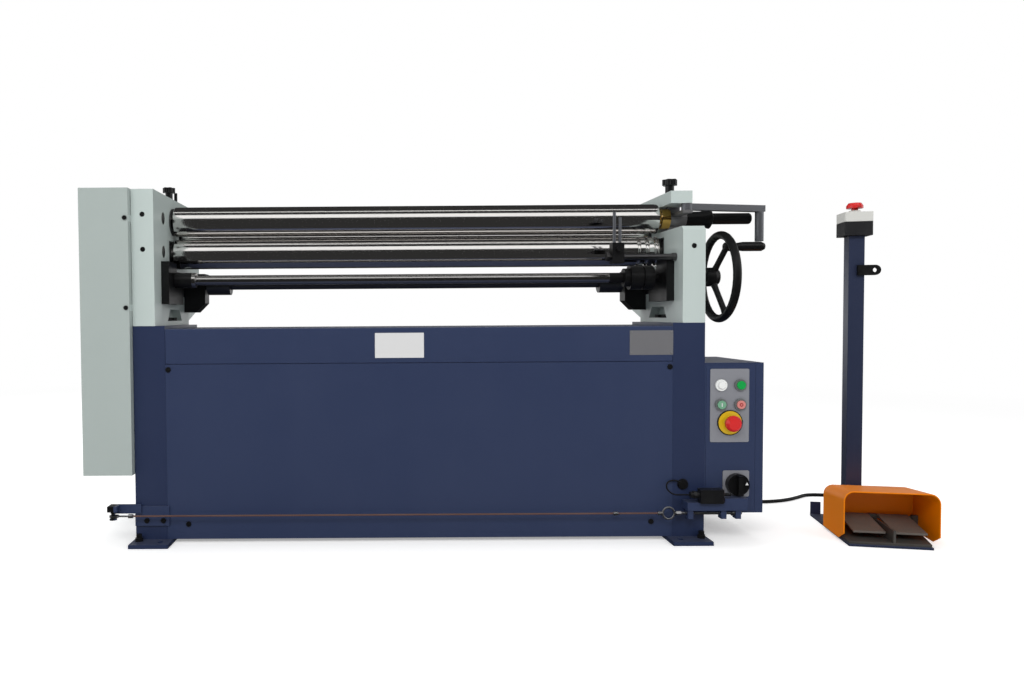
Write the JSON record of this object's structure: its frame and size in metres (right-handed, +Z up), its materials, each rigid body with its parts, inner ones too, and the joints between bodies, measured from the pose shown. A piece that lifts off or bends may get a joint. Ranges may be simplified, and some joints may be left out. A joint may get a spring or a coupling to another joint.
{
  "type": "plate rolling machine",
  "caption": "Motor-driven slip roll: long steel rolls between cast side housings on a sheet-metal cabinet, with handwheel, control box, pull-wire stop and cabled foot-switch pedestal",
  "frame": {"origin": "on the floor, at the centre of the four floor anchor holes of the cabinet's feet", "axes": "+X along the rolls towards the handwheel, +Y to the back of the machine, +Z up"},
  "size_m": [2.1525, 0.6524, 0.933],
  "materials": {
    "cast_paint": "satin",
    "cabinet_paint": "satin",
    "ground_steel": "ground",
    "dark_steel": "satin",
    "zinc": "satin",
    "black_iron": "satin",
    "black_plastic": "gloss",
    "brass": "satin",
    "motor_paint": "satin",
    "panel_grey": "matte",
    "base_black": "matte",
    "box_grey": "matte",
    "light_plastic": "gloss",
    "green_plastic": "gloss",
    "pale_green": "gloss",
    "pale_red": "gloss",
    "red_plastic": "gloss",
    "yellow_plastic": "gloss",
    "wire_coat": "gloss",
    "switch_grey": "matte",
    "stand_blue": "satin",
    "guard_orange": "gloss",
    "pedal_grey": "matte",
    "cable_rubber": "matte"
  },
  "bodies": {
    "frame": {"left_housing": "cast_paint", "right_housing": "cast_paint", "gear_cover": "cast_paint", "columns": "cabinet_paint", "bed_beam": "cabinet_paint", "cabinet_panels": "cabinet_paint", "control_box": "cabinet_paint", "wire_brackets": "cabinet_paint", "frame_hardware": "zinc", "drive_chain": "dark_steel", "gearmotor": "motor_paint", "worm_boxes": "black_iron", "guide_bar": "zinc", "operator_plates": "panel_grey", "button_bezels": "black_plastic", "power_lamp": "light_plastic", "stop_ring": "yellow_plastic", "rope_switch": "switch_grey", "switch_lead": "cable_rubber", "pedestal_stand": "stand_blue", "pedestal_stop_box": "box_grey", "pedal_guard": "guard_orange", "pedal_base": "base_black", "cable_fittings": "cable_rubber", "box_cable": "cable_rubber", "cable_coil": "cable_rubber", "pedal_cable": "cable_rubber"},
    "upper_arm": {"upper_bearing_block": "dark_steel", "brass_bush": "brass", "lift_handle": "black_iron"},
    "upper_roll": {"upper_roll": "ground_steel"},
    "upper_drive": {"upper_drive_sleeve": "dark_steel", "upper_gear": "dark_steel"},
    "lower_carriage": {"lower_bearing_blocks": "black_iron"},
    "lower_roll": {"lower_roll": "ground_steel", "lower_gear": "dark_steel"},
    "motor_shaft": {"motor_shaft": "dark_steel"},
    "front_shaft": {"front_cross_shaft": "dark_steel", "handwheel": "black_iron"},
    "handwheel_grip": {"handwheel_grip": "black_plastic"},
    "left_lift_wheel": {"left_lift_wheel": "brass"},
    "right_lift_wheel": {"right_lift_wheel": "brass"},
    "rear_carriage": {"rear_bearing_blocks": "black_iron"},
    "rear_roll": {"rear_roll": "ground_steel"},
    "rear_shaft": {"rear_cross_shaft": "dark_steel"},
    "left_rear_wheel": {"left_rear_wheel": "brass"},
    "right_rear_wheel": {"right_rear_wheel": "brass"},
    "lock_lever": {"lock_lever": "zinc"},
    "right_clamp_knob": {"right_clamp_knob": "black_plastic"},
    "left_clamp_knob": {"left_clamp_knob": "black_plastic"},
    "guide_block": {"guide_block": "black_iron"},
    "switch_knob": {"switch_knob": "black_plastic"},
    "jog_button": {"jog_button": "green_plastic"},
    "start_button": {"start_button": "pale_green"},
    "stop_button": {"stop_button": "pale_red"},
    "stop_head": {"stop_head": "red_plastic"},
    "pedestal_stop_head": {"pedestal_stop_head": "red_plastic"},
    "left_pedal": {"left_pedal": "pedal_grey"},
    "right_pedal": {"right_pedal": "pedal_grey"},
    "pull_wire": {"pull_wire": "wire_coat"}
  },
  "joints": [
    {"name": "upper_swing", "type": "hinge", "parent": "frame", "child": "upper_arm", "pos_m": [-0.688, 0.01, 0.827], "axis": [0, 0, -1], "range_deg": [0, 3.3]},
    {"name": "upper_roll_spin", "type": "hinge", "parent": "upper_arm", "child": "upper_roll", "pos_m": [0, 0.01, 0.827], "axis": [1, 0, 0], "continuous": true},
    {"name": "upper_drive_spin", "type": "hinge", "parent": "frame", "child": "upper_drive", "pos_m": [-0.688, 0.01, 0.827], "axis": [1, 0, 0], "continuous": true},
    {"name": "lower_lift", "type": "slide", "parent": "frame", "child": "lower_carriage", "axis": [0, 0, 1], "range_m": [-0.005, 0.005]},
    {"name": "lower_roll_spin", "type": "hinge", "parent": "lower_carriage", "child": "lower_roll", "pos_m": [0, 0.01, 0.7398], "axis": [1, 0, 0], "continuous": true},
    {"name": "motor_shaft_spin", "type": "hinge", "parent": "frame", "child": "motor_shaft", "pos_m": [-0.688, 0.01, 0.2936], "axis": [1, 0, 0], "continuous": true},
    {"name": "handwheel_turn", "type": "hinge", "parent": "frame", "child": "front_shaft", "pos_m": [0, -0.045, 0.667], "axis": [1, 0, 0], "range_deg": [-7470, 7470]},
    {"name": "handwheel_grip_spin", "type": "hinge", "parent": "front_shaft", "child": "handwheel_grip", "pos_m": [0.85, -0.09966, 0.74224], "axis": [1, 0, 0], "continuous": true},
    {"name": "left_lift_wheel_spin", "type": "hinge", "parent": "frame", "child": "left_lift_wheel", "pos_m": [-0.688, -0.00515, 0.667], "axis": [0, 0, 1], "range_deg": [-450, 450]},
    {"name": "right_lift_wheel_spin", "type": "hinge", "parent": "frame", "child": "right_lift_wheel", "pos_m": [0.688, -0.00515, 0.667], "axis": [0, 0, 1], "range_deg": [-450, 450]},
    {"name": "rear_lift", "type": "slide", "parent": "frame", "child": "rear_carriage", "axis": [0, 0, 1], "range_m": [-0.03, 0.02]},
    {"name": "rear_roll_spin", "type": "hinge", "parent": "rear_carriage", "child": "rear_roll", "pos_m": [0, 0.102, 0.77], "axis": [1, 0, 0], "continuous": true},
    {"name": "rear_shaft_turn", "type": "hinge", "parent": "frame", "child": "rear_shaft", "pos_m": [0, 0.142, 0.66], "axis": [1, 0, 0], "range_deg": [-5602.5, 3735]},
    {"name": "left_rear_wheel_spin", "type": "hinge", "parent": "frame", "child": "left_rear_wheel", "pos_m": [-0.688, 0.10215, 0.66], "axis": [0, 0, 1], "range_deg": [-1350, 900]},
    {"name": "right_rear_wheel_spin", "type": "hinge", "parent": "frame", "child": "right_rear_wheel", "pos_m": [0.688, 0.10215, 0.66], "axis": [0, 0, 1], "range_deg": [-1350, 900]},
    {"name": "lock_lever_swing", "type": "hinge", "parent": "upper_arm", "child": "lock_lever", "pos_m": [0.706, -0.066, 0.845], "axis": [0, 0, -1], "range_deg": [0, 60]},
    {"name": "right_clamp_knob_turn", "type": "hinge", "parent": "frame", "child": "right_clamp_knob", "pos_m": [0.688, 0.01, 0.9], "axis": [0, 0, 1], "continuous": true},
    {"name": "left_clamp_knob_turn", "type": "hinge", "parent": "frame", "child": "left_clamp_knob", "pos_m": [-0.68, 0.05, 0.9], "axis": [0, 0, 1], "continuous": true},
    {"name": "guide_slide", "type": "slide", "parent": "frame", "child": "guide_block", "axis": [1, 0, 0], "range_m": [0, 0.11]},
    {"name": "switch_knob_turn", "type": "hinge", "parent": "frame", "child": "switch_knob", "pos_m": [0.7948, -0.18, 0.143], "axis": [0, -1, 0], "range_deg": [0, 90]},
    {"name": "jog_press", "type": "slide", "parent": "frame", "child": "jog_button", "axis": [0, 1, 0], "range_m": [0, 0.003], "stiffness_N_per_m": 900, "springref_m": -0.002},
    {"name": "start_press", "type": "slide", "parent": "frame", "child": "start_button", "axis": [0, 1, 0], "range_m": [0, 0.003], "stiffness_N_per_m": 900, "springref_m": -0.002},
    {"name": "stop_press", "type": "slide", "parent": "frame", "child": "stop_button", "axis": [0, 1, 0], "range_m": [0, 0.003], "stiffness_N_per_m": 900, "springref_m": -0.002},
    {"name": "stop_head_press", "type": "slide", "parent": "frame", "child": "stop_head", "axis": [0, 1, 0], "range_m": [0, 0.004], "stiffness_N_per_m": 1500, "springref_m": -0.002},
    {"name": "pedestal_stop_press", "type": "slide", "parent": "frame", "child": "pedestal_stop_head", "axis": [0, 0, -1], "range_m": [0, 0.004], "stiffness_N_per_m": 1500, "springref_m": -0.002},
    {"name": "left_pedal_press", "type": "hinge", "parent": "frame", "child": "left_pedal", "pos_m": [1.11265, -0.09293, 0.044], "axis": [0.9781, -0.2079, 0], "range_deg": [0, 7], "stiffness_Nm_per_rad": 6, "springref_deg": -20.05},
    {"name": "right_pedal_press", "type": "hinge", "parent": "frame", "child": "right_pedal", "pos_m": [1.22025, -0.1158, 0.044], "axis": [0.9781, -0.2079, 0], "range_deg": [0, 7], "stiffness_Nm_per_rad": 6, "springref_deg": -20.05},
    {"name": "pull_wire_slide", "type": "slide", "parent": "frame", "child": "pull_wire", "axis": [1, 0, 0], "range_m": [-0.005, 0], "stiffness_N_per_m": 1200, "springref_m": 0.003}
  ],
  "couplings": [
    {"joint": "upper_drive_spin", "follows": "lower_roll_spin", "ratio": -1},
    {"joint": "upper_roll_spin", "follows": "lower_roll_spin", "ratio": -1},
    {"joint": "motor_shaft_spin", "follows": "lower_roll_spin", "ratio": -1},
    {"joint": "lower_lift", "follows": "handwheel_turn", "m_per_rad": 0.000038351},
    {"joint": "left_lift_wheel_spin", "follows": "handwheel_turn", "ratio": 0.060241},
    {"joint": "right_lift_wheel_spin", "follows": "handwheel_turn", "ratio": 0.060241},
    {"joint": "rear_shaft_turn", "follows": "rear_lift", "rad_per_m": 3259.4},
    {"joint": "left_rear_wheel_spin", "follows": "rear_lift", "rad_per_m": 785.39},
    {"joint": "right_rear_wheel_spin", "follows": "rear_lift", "rad_per_m": 785.39}
  ]
}
